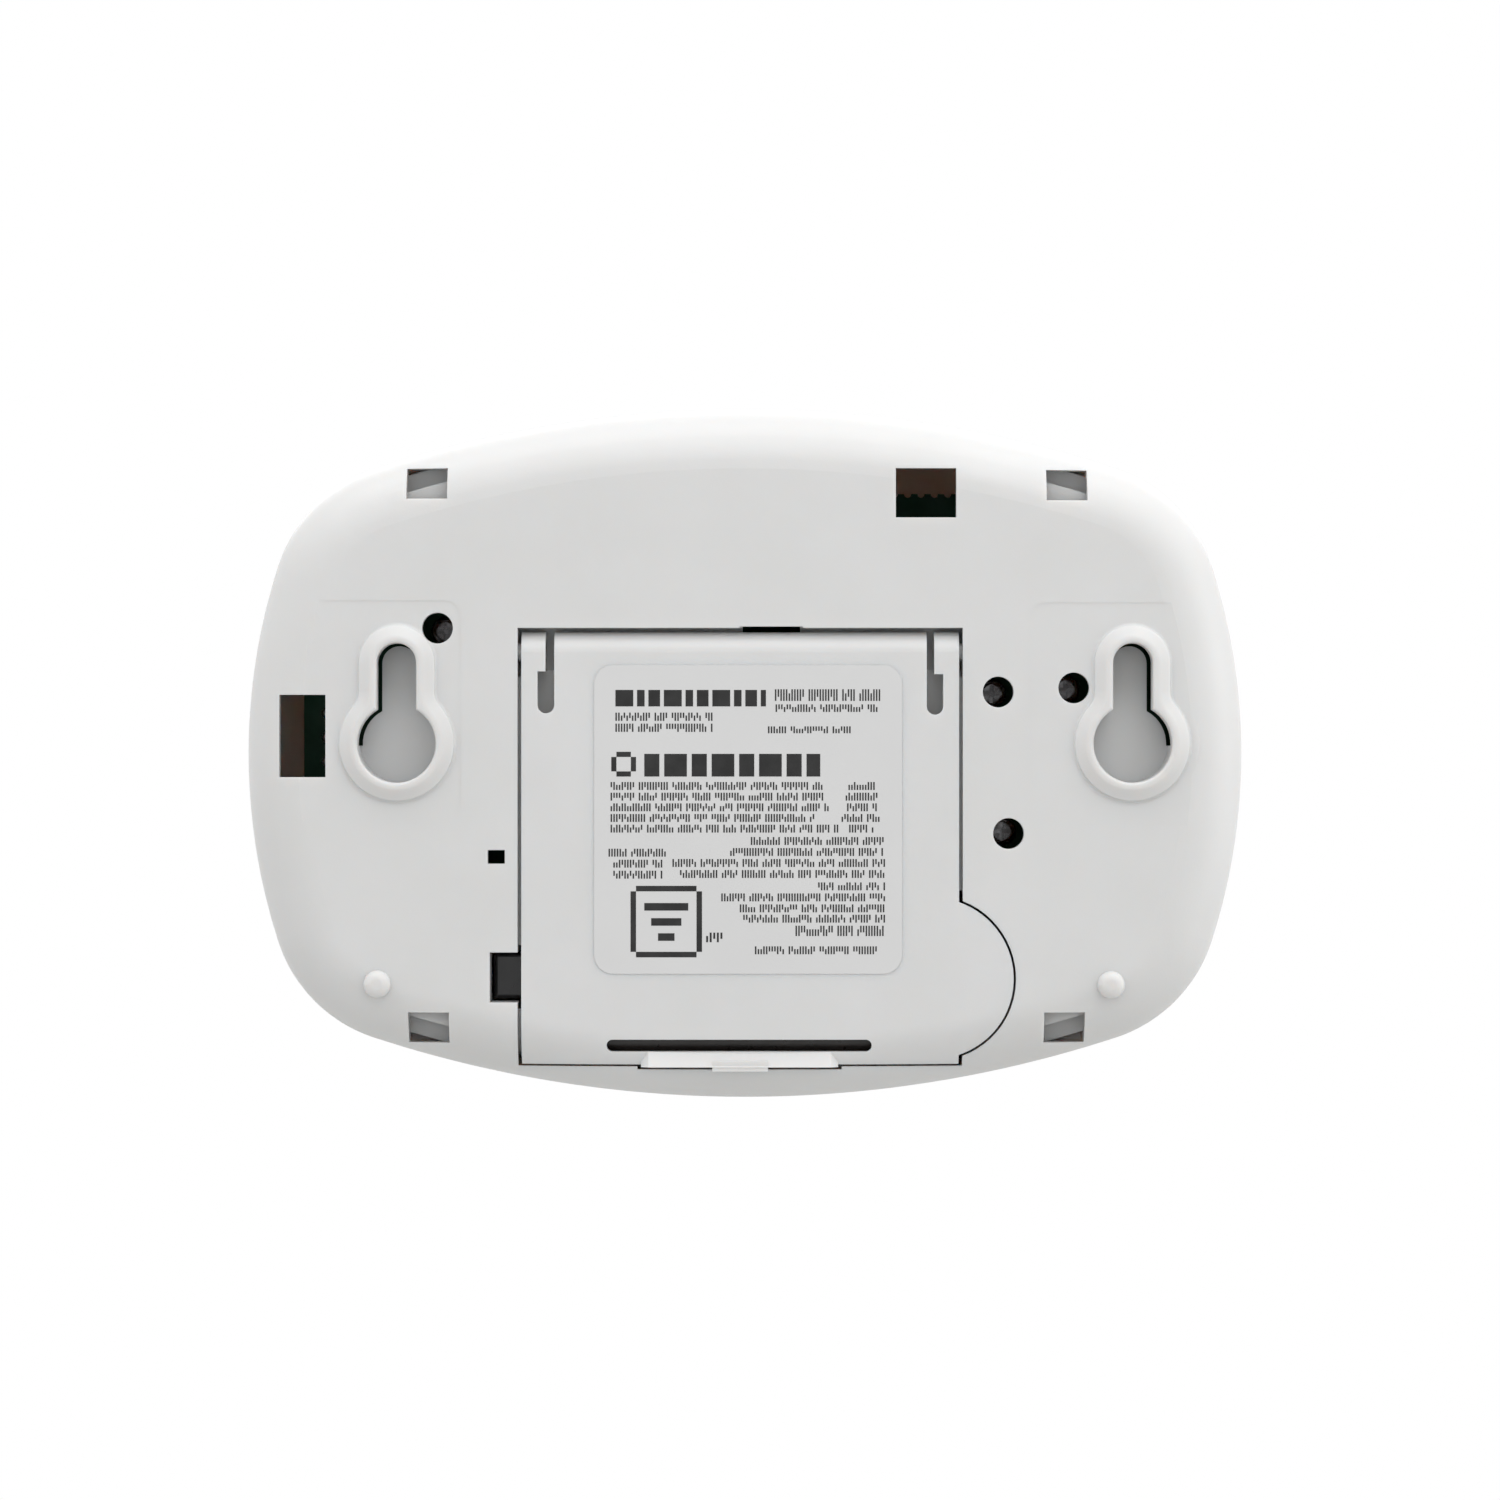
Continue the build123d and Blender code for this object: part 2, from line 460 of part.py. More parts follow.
# ---- battery and its connector -----------------------------------------------
def battery_case():
    z0, z1 = BATTERY_Z - BATTERY_HEIGHT / 2, BATTERY_Z + BATTERY_HEIGHT / 2
    case = block(BATTERY_X0, BATTERY_END, z0, z1, BATTERY_TOP, BATTERY_TOP + BATTERY_THICK)
    return fillet(case.edges().filter_by(Axis.X), 2.0)


def battery_terminals():
    """Round stud and larger six-sided socket on the end of the battery."""
    tip = BATTERY_END + TERMINAL_LENGTH
    stud = bar(BATTERY_END, tip, STUD_Z, TERMINAL_DEPTH, STUD_R)
    stud += bar(BATTERY_END, BATTERY_END + 0.5, STUD_Z, TERMINAL_DEPTH, STUD_BASE_R)
    six = Plane.YZ.offset(BATTERY_END) * Pos(-TERMINAL_DEPTH, SOCKET_Z) * RegularPolygon(SOCKET_R, 6)
    socket = extrude(six, amount=TERMINAL_LENGTH)
    socket -= bar(BATTERY_END + 0.5, tip + 1, SOCKET_Z, TERMINAL_DEPTH, SOCKET_BORE_R)
    return Compound(children=[stud, socket])


def contact(z, radius, half, leg_end):
    """Flat snap contact with a leg towards the board."""
    x = CONTACT_X + CONTACT_THICK
    leg = block(CONTACT_X, x, z - half, z + half, TERMINAL_DEPTH, leg_end)
    return bar(CONTACT_X, x, z, TERMINAL_DEPTH, radius) + leg


def battery_contacts():
    return Compound(children=[contact(z, radius, LEG_HALF, BOARD_BACK + 1)
                              for z, radius in [(STUD_Z, STUD_BASE_R), (SOCKET_Z, SOCKET_R - 0.7)]])


def battery_connector():
    """Black moulding that holds the contacts, with a block that fills the notch beside the door."""
    x0, x1, end = BATTERY_END + 0.4, DOOR_X1 - 0.1, POCKET_DEPTH - 0.3
    body = block(x0, x1, CONNECTOR_Z0, CONNECTOR_Z1, CONNECTOR_TOP, BOARD_TOP)
    body += block(x1 - 1, NOTCH_X - 0.3, NOTCH_Z0 + 0.3, NOTCH_Z1 - 0.3, CONNECTOR_TOP, end)
    body = fillet(edges_at(body, CONNECTOR_TOP), 0.6)
    for z in (STUD_Z, SOCKET_Z):
        body -= bar(BATTERY_END, CONTACT_X, z, TERMINAL_DEPTH, 4.9)
        body -= contact(z, 4.3, LEG_HALF, BOARD_TOP + 1)
    return body


# ---- board and what stands on it ---------------------------------------------
def main_pcb():
    board = slab(outline(BOARD_INSET) & panel(BOARD_X0, BOARD_X1, BOARD_Z0, BOARD_Z1), BOARD_TOP, BOARD_THICK)
    for x, z in SCREWS:
        board -= post(x, z, SCREW_R + 0.2, 20, 30)
    for i in range(BREAKOFFS):
        board -= post(BREAKOFF_X + BREAKOFF_PITCH * i, BOARD_Z1, BREAKOFF_R, 20, 30)
    half = CATCH_W / 2 + 0.5
    for x, z in SNAPS:
        out = 1 if z > 0 else -1
        board -= block(x - half, x + half, z - out * 6, z + out * 12, 20, 30)
    for z in (STUD_Z, SOCKET_Z):
        board -= block(CONTACT_X - 0.2, CONTACT_X + 0.7, z - LEG_HALF - 0.1, z + LEG_HALF + 0.1, 20, 30)
    return board


def pcb_screw(x, z):
    """Pan-head screw with a cross recess."""
    top = BOARD_TOP - SCREW_HEAD
    head = fillet(edges_at(post(x, z, SCREW_HEAD_R, top, BOARD_TOP), top), 0.9)
    for w, h in [(CROSS_LONG, CROSS_SHORT), (CROSS_SHORT, CROSS_LONG)]:
        head -= block(x - w / 2, x + w / 2, z - h / 2, z + h / 2, top - 1, top + CROSS_DEEP)
    return head + post(x, z, SCREW_R, BOARD_TOP, BOARD_BACK + SCREW_LENGTH)


def horn_housing():
    """Open cup with an inner ring that the sounding disc rests on."""
    cup = ring(HORN_X, HORN_Z, HORN_R, HORN_R - 1.2, BOARD_BACK, HORN_END)
    cup += post(HORN_X, HORN_Z, HORN_R - 1, BOARD_BACK, BOARD_BACK + 1)
    cup += ring(HORN_X, HORN_Z, HORN_R - 1, HORN_R - 2.4, BOARD_BACK, DISC_DEPTH)
    for side in (-1, 1):
        cup -= post(HORN_X + side * HORN_PIN_X, HORN_Z, HORN_PIN_HOLE, 20, 30)
    return cup


def horn_contacts():
    """Two sprung pins that feed the sounding disc."""
    return Compound(children=[post(HORN_X + side * HORN_PIN_X, HORN_Z, HORN_PIN_R, BOARD_BACK, DISC_DEPTH)
                              for side in (-1, 1)])


def horn_gasket():
    """Foam ring between the sounder's rim and the front."""
    foam = ring(HORN_X, HORN_Z, HORN_R - 0.2, HORN_R - 2.2, HORN_END, FRONT)
    return foam & front_form(WALL + 0.05)


def sensor_can():
    can = post(SENSOR_X, SENSOR_Z, SENSOR_R, SENSOR_SHOULDER, BOARD_TOP - 1)
    return fillet(can.edges(), 0.6)


def sensor_cap():
    cap = post(SENSOR_X, SENSOR_Z, SENSOR_CAP_R, SENSOR_TOP, SENSOR_SHOULDER)
    return cap - post(SENSOR_X, SENSOR_Z, SENSOR_HOLE_R, SENSOR_TOP - 1, SENSOR_SHOULDER - 0.5)


def sensor_pins():
    return Compound(children=[post(SENSOR_X + x, SENSOR_Z + z, 0.5, BOARD_TOP - 1, BOARD_TOP)
                              for x, z in SENSOR_PINS])


def test_button():
    """Capsule-shaped button with a flange behind the front and a stem to the switch."""
    face = slab(button_face(-BUTTON_PLAY), FLANGE_DEPTH - 0.2, 6) & front_form(0.1)
    face = fillet([e for e in face.edges() if e.center().Y < -FLANGE_DEPTH - 1.6 and e.length > 8], 0.7)
    flange = slab(button_face(BUTTON_FLANGE), FLANGE_DEPTH, FLANGE_THICK)
    hollow = slab(button_face(-BUTTON_PLAY - BUTTON_WALL), FLANGE_DEPTH - 1.4, 3.4)
    return face + flange - hollow + post(BUTTON_X, BUTTON_Z, STEM_R, STEM_END, 36)


def switch_body():
    top = BOARD_BACK + SWITCH_HEIGHT
    body = block(BUTTON_X - SWITCH_HALF, BUTTON_X + SWITCH_HALF, BUTTON_Z - SWITCH_HALF,
                 BUTTON_Z + SWITCH_HALF, BOARD_BACK, top)
    return body - post(BUTTON_X, BUTTON_Z, PLUNGER_R + PLUNGER_PLAY, top - 1.4, top + 1)


def switch_plunger():
    return post(BUTTON_X, BUTTON_Z, PLUNGER_R, BOARD_BACK + SWITCH_HEIGHT - 1, PLUNGER_END)


def lamp(x):
    """Round lamp with a domed nose and a collar at the board."""
    dome = fillet(edges_at(post(x, LAMP_Z, LAMP_R, BOARD_BACK, LAMP_END), LAMP_END), 1.2)
    return dome + post(x, LAMP_Z, LAMP_COLLAR_R, BOARD_BACK, BOARD_BACK + 1)


def lens(x):
    """Clear peg that carries a lamp's light to the front."""
    peg = post(x, LAMP_Z, LENS_R, LENS_DEPTH, FRONT + 2)
    flange = post(x, LAMP_Z, LENS_FLANGE_R, LENS_DEPTH, LENS_DEPTH + 1.4)
    return (peg + flange) & front_form(0.15)


def chip(x, z, width, height, pins):
    """Flat chip on the board, and its two rows of legs."""
    half_w, half_h = width / 2, height / 2
    body = block(x - half_w, x + half_w, z - half_h, z + half_h, BOARD_TOP - 1.6, BOARD_TOP - 0.15)
    legs = []
    for i in range(pins):
        px = x - half_w + width * (i + 0.5) / pins
        for out in (-1, 1):
            edge = z + out * half_h
            legs.append(block(px - 0.2, px + 0.2, edge, edge + out, BOARD_TOP - 0.75, BOARD_TOP))
    return body, Compound(children=legs)


def upright_can(x, z, radius, height):
    """Round electrolytic capacitor with a crimp groove, standing on the board."""
    can = fillet(edges_at(post(x, z, radius, BOARD_TOP - height, BOARD_TOP), BOARD_TOP - height), 0.5)
    return can - ring(x, z, radius + 1, radius - 0.3, BOARD_TOP - 2.4, BOARD_TOP - 1.7)


def small_parts(places, size):
    """Rectangular surface-mount parts, each given by its middle and whether it stands upright."""
    parts = []
    for x, z, upright in places:
        w, h = (size[1], size[0]) if upright else (size[0], size[1])
        parts.append(block(x - w / 2, x + w / 2, z - h / 2, z + h / 2, BOARD_TOP - size[2], BOARD_TOP))
    return Compound(children=parts)


def horn_transformer():
    """Small winding between two flanges, standing on the board."""
    x, z, height = TRANSFORMER
    top = BOARD_TOP - height
    flanges = post(x, z, 4.5, top, top + 1) + post(x, z, 4.5, BOARD_TOP - 1, BOARD_TOP)
    return flanges + post(x, z, 3.9, top + 1, BOARD_TOP - 1)


def crystal():
    """Drawn can with round ends."""
    x, z, width, height = CRYSTAL
    can = block(x - width / 2, x + width / 2, z - height / 2, z + height / 2, BOARD_TOP - 3.4, BOARD_TOP)
    return fillet(can.edges().filter_by(Axis.Y), 1.4)


# ---- build every piece -------------------------------------------------------
controller, controller_pins = chip(*CONTROLLER)
driver, driver_pins = chip(*DRIVER)

PIECES = {
    "front_housing": front_housing(),
    "back_cover": back_cover(),
    "battery_door": battery_door(),
    "rating_label": rating_label(),
    "battery_case": battery_case(),
    "battery_terminals": battery_terminals(),
    "battery_connector": battery_connector(),
    "battery_contacts": battery_contacts(),
    "main_pcb": main_pcb(),
    "pcb_screws": Compound(children=[pcb_screw(x, z) for x, z in SCREWS]),
    "horn_housing": horn_housing(),
    "piezo_disc": post(HORN_X, HORN_Z, HORN_R - 1.5, DISC_DEPTH, DISC_DEPTH + DISC_THICK),
    "horn_gasket": horn_gasket(),
    "horn_contacts": horn_contacts(),
    "sensor_can": sensor_can(),
    "sensor_cap": sensor_cap(),
    "sensor_pins": sensor_pins(),
    "test_button": test_button(),
    "switch_body": switch_body(),
    "switch_plunger": switch_plunger(),
    "indicator_lenses": Compound(children=[lens(x) for x in LAMP_XS.values()]),
    "microcontroller": controller,
    "microcontroller_pins": controller_pins,
    "driver_chip": driver,
    "driver_chip_pins": driver_pins,
    "electrolytic_capacitors": Compound(children=[upright_can(*can) for can in CANS]),
    "horn_transformer": horn_transformer(),
    "chip_resistors": small_parts(RESISTORS, (2.0, 1.2, 0.6)),
    "chip_capacitors": small_parts(CAPACITORS, (2.0, 1.25, 0.9)),
    "crystal": crystal(),
}
for node, x in LAMP_XS.items():
    PIECES[node] = lamp(x)

for node, shape in PIECES.items():
    save(shape, node)
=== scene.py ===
import itertools
import math
import random

import bmesh
import bpy
from mathutils import Matrix, Vector


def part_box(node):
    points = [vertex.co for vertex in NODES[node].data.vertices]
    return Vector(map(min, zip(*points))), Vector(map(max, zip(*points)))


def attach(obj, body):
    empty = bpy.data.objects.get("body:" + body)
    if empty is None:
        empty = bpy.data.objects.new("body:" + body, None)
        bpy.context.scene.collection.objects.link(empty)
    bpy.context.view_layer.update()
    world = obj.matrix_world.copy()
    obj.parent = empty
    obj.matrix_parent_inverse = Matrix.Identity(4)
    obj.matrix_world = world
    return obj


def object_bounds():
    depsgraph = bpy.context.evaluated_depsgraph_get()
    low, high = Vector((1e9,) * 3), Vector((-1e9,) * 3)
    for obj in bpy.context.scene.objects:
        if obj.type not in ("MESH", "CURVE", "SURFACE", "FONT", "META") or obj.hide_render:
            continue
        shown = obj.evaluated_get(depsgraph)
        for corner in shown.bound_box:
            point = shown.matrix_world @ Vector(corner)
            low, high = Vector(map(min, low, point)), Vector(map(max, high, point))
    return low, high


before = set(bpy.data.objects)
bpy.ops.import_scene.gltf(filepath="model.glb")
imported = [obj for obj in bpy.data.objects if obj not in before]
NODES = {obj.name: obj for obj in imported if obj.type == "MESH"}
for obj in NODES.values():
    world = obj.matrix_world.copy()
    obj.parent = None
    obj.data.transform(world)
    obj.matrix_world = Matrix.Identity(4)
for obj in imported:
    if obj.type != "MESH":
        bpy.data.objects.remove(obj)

MM = 0.001
CAD_BOX = [list(corner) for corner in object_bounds()]

# ---- view and studio ----------------------------------------------------------
VIEW_DISTANCE = 0.8                 # from the wall plane to the camera
VIEW_WIDTH = 0.2178                 # what the picture spans at the wall plane
VIEW_CENTRE = Vector((0.00212, 0.0, -0.00094))
FLOOR_DROP = 0.30
FLOOR_RADIUS = 1.2


def make_camera():
    """Square-on to the back of the detector, with +X at the picture's left."""
    data = bpy.data.cameras.new("camera")
    data.sensor_width = 36.0
    data.lens = data.sensor_width * VIEW_DISTANCE / VIEW_WIDTH
    data.clip_start = 0.05
    data.clip_end = 20.0
    camera = bpy.data.objects.new("camera", data)
    camera.location = VIEW_CENTRE + Vector((0, VIEW_DISTANCE, 0))
    camera.rotation_euler = (math.radians(90), 0, math.radians(180))
    bpy.context.scene.collection.objects.link(camera)
    bpy.context.scene.camera = camera


def area_light(name, place, size, power, aim=(0, 0, 0)):
    """Soft rectangular light that faces a point."""
    data = bpy.data.lights.new(name, "AREA")
    data.shape = "RECTANGLE"
    data.size, data.size_y = size
    data.energy = power
    light = bpy.data.objects.new(name, data)
    light.location = place
    light.rotation_euler = (Vector(aim) - Vector(place)).to_track_quat("-Z", "Y").to_euler()
    bpy.context.scene.collection.objects.link(light)


def make_studio():
    """White surroundings, a softbox above, a key light over the camera and weaker ones at the sides."""
    world = bpy.data.worlds.new("studio")
    world.use_nodes = True
    background = world.node_tree.nodes["Background"]
    background.inputs["Color"].default_value = (1, 1, 1, 1)
    background.inputs["Strength"].default_value = 1.0
    bpy.context.scene.world = world
    bpy.context.scene.view_settings.view_transform = "Standard"
    area_light("top_softbox", (0, 0.15, 1.0), (1.6, 0.5), 4.6)
    area_light("key_softbox", (-0.25, 0.9, 0.9), (0.8, 0.4), 2.6)
    area_light("right_softbox", (-1.0, 0.05, 0.2), (0.6, 0.8), 2.2)
    area_light("front_softbox", (0, -0.9, 0.5), (1.2, 0.6), 3)


# ---- materials ----------------------------------------------------------------
SHELL_GLOW = 0.45                   # share of light that passes through the white shells' skin


class Look:
    """A Principled material and the small node groups that vary it over a surface."""

    def __init__(self, name, colour, roughness=0.45, **sockets):
        self.material = bpy.data.materials.new(name)
        self.material.use_nodes = True
        self.tree = self.material.node_tree
        self.shader = self.tree.nodes["Principled BSDF"]
        self.shader.inputs["Base Color"].default_value = (*colour, 1)
        self.shader.inputs["Roughness"].default_value = roughness
        for socket, value in sockets.items():
            self.shader.inputs[socket.replace("_", " ")].default_value = value
        self.colour = colour
        self.coordinates = self.node("ShaderNodeTexCoord").outputs["Object"]
        self.normal = None

    def node(self, kind, **inputs):
        made = self.tree.nodes.new(kind)
        for socket, value in inputs.items():
            made.inputs[socket.replace("_", " ")].default_value = value
        return made

    def join(self, output, socket):
        self.tree.links.new(output, socket)

    def noise(self, size, detail=3.0, stretch=(1, 1, 1)):
        """Noise whose blobs are about one size across, in metres."""
        mapping = self.node("ShaderNodeMapping")
        mapping.inputs["Scale"].default_value = [s / size for s in stretch]
        self.join(self.coordinates, mapping.inputs["Vector"])
        texture = self.node("ShaderNodeTexNoise", Scale=1.0, Detail=detail)
        self.join(mapping.outputs["Vector"], texture.inputs["Vector"])
        return texture.outputs["Fac"]

    def ramp(self, value, low, high, start=0.35, end=0.65):
        """Colour ramp between two colours over a stretch of a value."""
        ramp = self.node("ShaderNodeValToRGB")
        ramp.color_ramp.elements[0].position = start
        ramp.color_ramp.elements[1].position = end
        ramp.color_ramp.elements[0].color = (*low, 1)
        ramp.color_ramp.elements[1].color = (*high, 1)
        self.join(value, ramp.inputs["Fac"])
        return ramp.outputs["Color"]

    def spread(self, value, low, high):
        """Number between low and high that follows a value from 0 to 1."""
        mapped = self.node("ShaderNodeMapRange")
        mapped.inputs["From Min"].default_value = 0.3
        mapped.inputs["From Max"].default_value = 0.7
        mapped.inputs["To Min"].default_value = low
        mapped.inputs["To Max"].default_value = high
        self.join(value, mapped.inputs["Value"])
        return mapped.outputs["Result"]

    def mottle(self, size, amount, tint=(1, 1, 1)):
        """Slow change of colour across the surface."""
        low = [c * (1 - amount) * t for c, t in zip(self.colour, tint)]
        high = [min(1, c * (1 + amount)) for c in self.colour]
        self.join(self.ramp(self.noise(size), low, high), self.shader.inputs["Base Color"])
        return self

    def polish(self, size, low, high):
        """Uneven gloss, as handling and moulding leave it."""
        self.join(self.spread(self.noise(size), low, high), self.shader.inputs["Roughness"])
        return self

    def bump(self, height, distance, strength):
        """Adds a height pattern to the surface normal."""
        bump = self.node("ShaderNodeBump", Strength=strength, Distance=distance)
        self.join(height, bump.inputs["Height"])
        if self.normal is not None:
            self.join(self.normal, bump.inputs["Normal"])
        self.normal = bump.outputs["Normal"]
        self.join(self.normal, self.shader.inputs["Normal"])
        return self

    def grain(self, size, distance, strength=0.5):
        """Fine moulded grain."""
        return self.bump(self.noise(size, detail=2.0), distance, strength)


def moulded_plastic(name, colour, roughness=0.42, mottle=0.012, glow=0.0):
    """White moulded plastic; a glow lets a little warm light through its thickness."""
    look = Look(name, colour, roughness, Subsurface_Weight=glow)
    look.shader.inputs["Subsurface Radius"].default_value = (1.0, 0.75, 0.6)
    look.shader.inputs["Subsurface Scale"].default_value = 3 * MM
    look.mottle(18 * MM, mottle, (1, 1, 0.995))
    look.polish(7 * MM, roughness - 0.05, roughness + 0.06)
    look.grain(0.35 * MM, 0.02 * MM, 0.35)
    look.grain(9 * MM, 0.08 * MM, 0.25)
    return look.material


def metal(name, colour, roughness, streak=(1, 1, 1)):
    look = Look(name, colour, roughness, Metallic=1.0)
    look.mottle(2 * MM, 0.08)
    look.polish(1.2 * MM, roughness * 0.75, roughness * 1.4)
    look.bump(look.noise(0.25 * MM, 2.0, streak), 0.01 * MM, 0.4)
    return look.material


def dark_moulding(name, colour, roughness):
    look = Look(name, colour, roughness)
    look.mottle(4 * MM, 0.15)
    look.polish(2 * MM, roughness * 0.8, roughness * 1.25)
    look.grain(0.3 * MM, 0.02 * MM, 0.5)
    return look.material


def board(name, colour):
    """Dark green solder mask with the faint relief of the copper under it."""
    look = Look(name, colour, 0.5, Specular_IOR_Level=0.2)
    look.mottle(10 * MM, 0.35, (0.7, 1.1, 0.8))
    look.polish(4 * MM, 0.42, 0.6)
    look.grain(1.6 * MM, 0.05 * MM, 0.5)
    return look.material


def clear(name, colour, roughness=0.08):
    look = Look(name, colour, roughness, Transmission_Weight=0.9, IOR=1.5)
    look.mottle(3 * MM, 0.04)
    look.polish(1.5 * MM, roughness, roughness + 0.08)
    look.grain(0.6 * MM, 0.01 * MM, 0.2)
    return look.material


def paint(material, *nodes):
    for node in nodes:
        for slot in NODES[node].material_slots:
            slot.material = material


def paint_frame():
    paint(moulded_plastic("shell_plastic", (0.63, 0.63, 0.628), glow=SHELL_GLOW), "back_cover", "front_housing")
    paint(moulded_plastic("door_plastic", (0.63, 0.63, 0.63), glow=SHELL_GLOW), "battery_door")
    paint(moulded_plastic("button_plastic", (0.74, 0.75, 0.76), 0.38), "test_button")
    paint(moulded_plastic("sensor_cap_plastic", (0.74, 0.74, 0.71)), "sensor_cap")
    paint(moulded_plastic("plunger_plastic", (0.62, 0.60, 0.54)), "switch_plunger")
    label = Look("label_film", (0.60, 0.60, 0.60), 0.5)
    label.mottle(12 * MM, 0.01).polish(5 * MM, 0.45, 0.55).grain(0.5 * MM, 0.005 * MM, 0.3)
    paint(label.material, "rating_label")
    paint(dark_moulding("battery_wrap", (0.030, 0.026, 0.024), 0.30), "battery_case")
    paint(dark_moulding("connector_plastic", (0.012, 0.012, 0.013), 0.22), "battery_connector")
    paint(metal("nickel", (0.66, 0.64, 0.60), 0.28), "battery_terminals", "battery_contacts")
    paint(board("solder_mask", (0.014, 0.064, 0.036)), "main_pcb")
    paint(metal("black_zinc", (0.16, 0.16, 0.165), 0.24), "pcb_screws")
    paint(dark_moulding("horn_plastic", (0.035, 0.035, 0.038), 0.45), "horn_housing")
    paint(metal("disc_brass_sheet", (0.72, 0.55, 0.26), 0.32), "piezo_disc")
    paint(dark_moulding("foam", (0.03, 0.03, 0.03), 0.9), "horn_gasket")
    paint(metal("gold_plate", (0.80, 0.60, 0.28), 0.25), "horn_contacts")
    paint(dark_moulding("sensor_body", (0.06, 0.06, 0.065), 0.4), "sensor_can")
    tin = metal("tin_plate", (0.62, 0.62, 0.62), 0.3)
    paint(tin, "sensor_pins", "microcontroller_pins", "driver_chip_pins", "crystal")
    paint(dark_moulding("switch_plastic", (0.025, 0.025, 0.026), 0.4), "switch_body")
    paint(dark_moulding("chip_epoxy_black", (0.022, 0.022, 0.024), 0.5), "microcontroller", "driver_chip")
    paint(dark_moulding("sleeve", (0.015, 0.02, 0.06), 0.28), "electrolytic_capacitors")
    paint(metal("copper_winding", (0.42, 0.17, 0.07), 0.35, (1, 6, 1)), "horn_transformer")
    paint(dark_moulding("resistor_glaze", (0.03, 0.03, 0.03), 0.3), "chip_resistors")
    paint(dark_moulding("ceramic_tan", (0.30, 0.20, 0.11), 0.45), "chip_capacitors")
    paint(clear("lens_plastic", (0.85, 0.88, 0.88)), "indicator_lenses")
    paint(clear("red_epoxy", (0.75, 0.03, 0.02)), "led_red")
    paint(clear("amber_epoxy", (0.85, 0.38, 0.02)), "led_amber")
    paint(clear("green_epoxy", (0.04, 0.55, 0.10)), "led_green")


# ---- printed label --------------------------------------------------------------
INK_THICK = 0.015 * MM
INK_SINK = 0.004 * MM               # how far the ink reaches into the film
STROKE, STROKE_PITCH = 0.22 * MM, 0.40 * MM
WORD_GAP = 0.5 * MM
BODY_HEIGHT = 1.15 * MM

# Lines of fine print, in millimetres from the label's upper left corner as seen from behind:
# left end, right end, upper edge, and the line's height where it isn't the usual one.
PRINT_LINES = [
    (26.3, 41.7, 3.5, 1.7), (26.4, 41.6, 5.7, 1.1), (3.1, 17.3, 6.9, 1.2), (3.1, 17.3, 8.5, 1.2),
    (25.3, 37.8, 8.9, 1.0),
    (22.8, 42.4, 25.0), (19.8, 42.4, 26.6), (11.4, 42.4, 28.2), (12.5, 42.4, 29.8), (32.6, 42.4, 31.6),
    (18.5, 42.4, 33.2), (21.2, 42.4, 34.8), (21.7, 42.4, 36.3), (29.3, 42.4, 37.9, 1.5), (23.4, 41.3, 40.9),
    (2.1, 10.8, 26.7), (2.8, 10.2, 28.3), (2.8, 10.2, 29.9),
]
PARAGRAPH = [33.6, 33.6, 34.4, 32.2, 35.8]              # right ends of five full lines
COLUMN = [(37.0, 41.0), (36.6, 41.4), (36.8, 41.3), (36.0, 41.9), (37.1, 40.9)]
PARAGRAPH_LEFT, PARAGRAPH_TOP, PARAGRAPH_PITCH = 2.4, 17.0, 1.55
HEADINGS = [                        # left, right, upper and lower edges, block widths and the gap between them
    (3.1, 25.0, 3.6, 6.0, (2.6, 1.1, 1.7), 0.55),
    (7.3, 32.9, 12.9, 16.2, (2.2, 3.3), 0.7),
]
FRAMES = [(2.5, 6.1, 12.6, 16.2, 0.75), (5.3, 15.7, 32.1, 42.5, 0.8)]           # four edges and a line width
BARS_X, BARS_TOP, BARS_PITCH, BAR_HEIGHT = 10.5, 34.6, 2.2, 1.1                 # inside the larger frame
BAR_HALVES = (3.2, 2.2, 1.2)
SIDE_NOTE = (16.3, 18.7, 38.9, 1.4, 1.3)                # beside the larger frame, in larger strokes


def add_box(shape, low, high):
    """Adds one closed box to a bmesh, between two corners."""
    size = Vector(high) - Vector(low)
    place = Matrix.Translation((Vector(low) + Vector(high)) / 2)
    bmesh.ops.create_cube(shape, size=1.0, matrix=place @ Matrix.Diagonal((*size, 1)))


def frame_sides(a0, a1, b0, b1, width):
    """Four sides of a rectangular outline with open corners, each as two limits one way and two the other."""
    across = [(a0 + width, a1 - width, b, b + width) for b in (b0, b1 - width)]
    upright = [(a, a + width, b0 + width, b1 - width) for a in (a0, a1 - width)]
    return across + upright


def make_piece(name, shape, material, body):
    """Turns a bmesh into a piece that rides on a body."""
    mesh = bpy.data.meshes.new(name)
    shape.to_mesh(mesh)
    shape.free()
    piece = bpy.data.objects.new(name, mesh)
    piece.data.materials.append(material)
    bpy.context.scene.collection.objects.link(piece)
    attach(piece, body)
    return piece


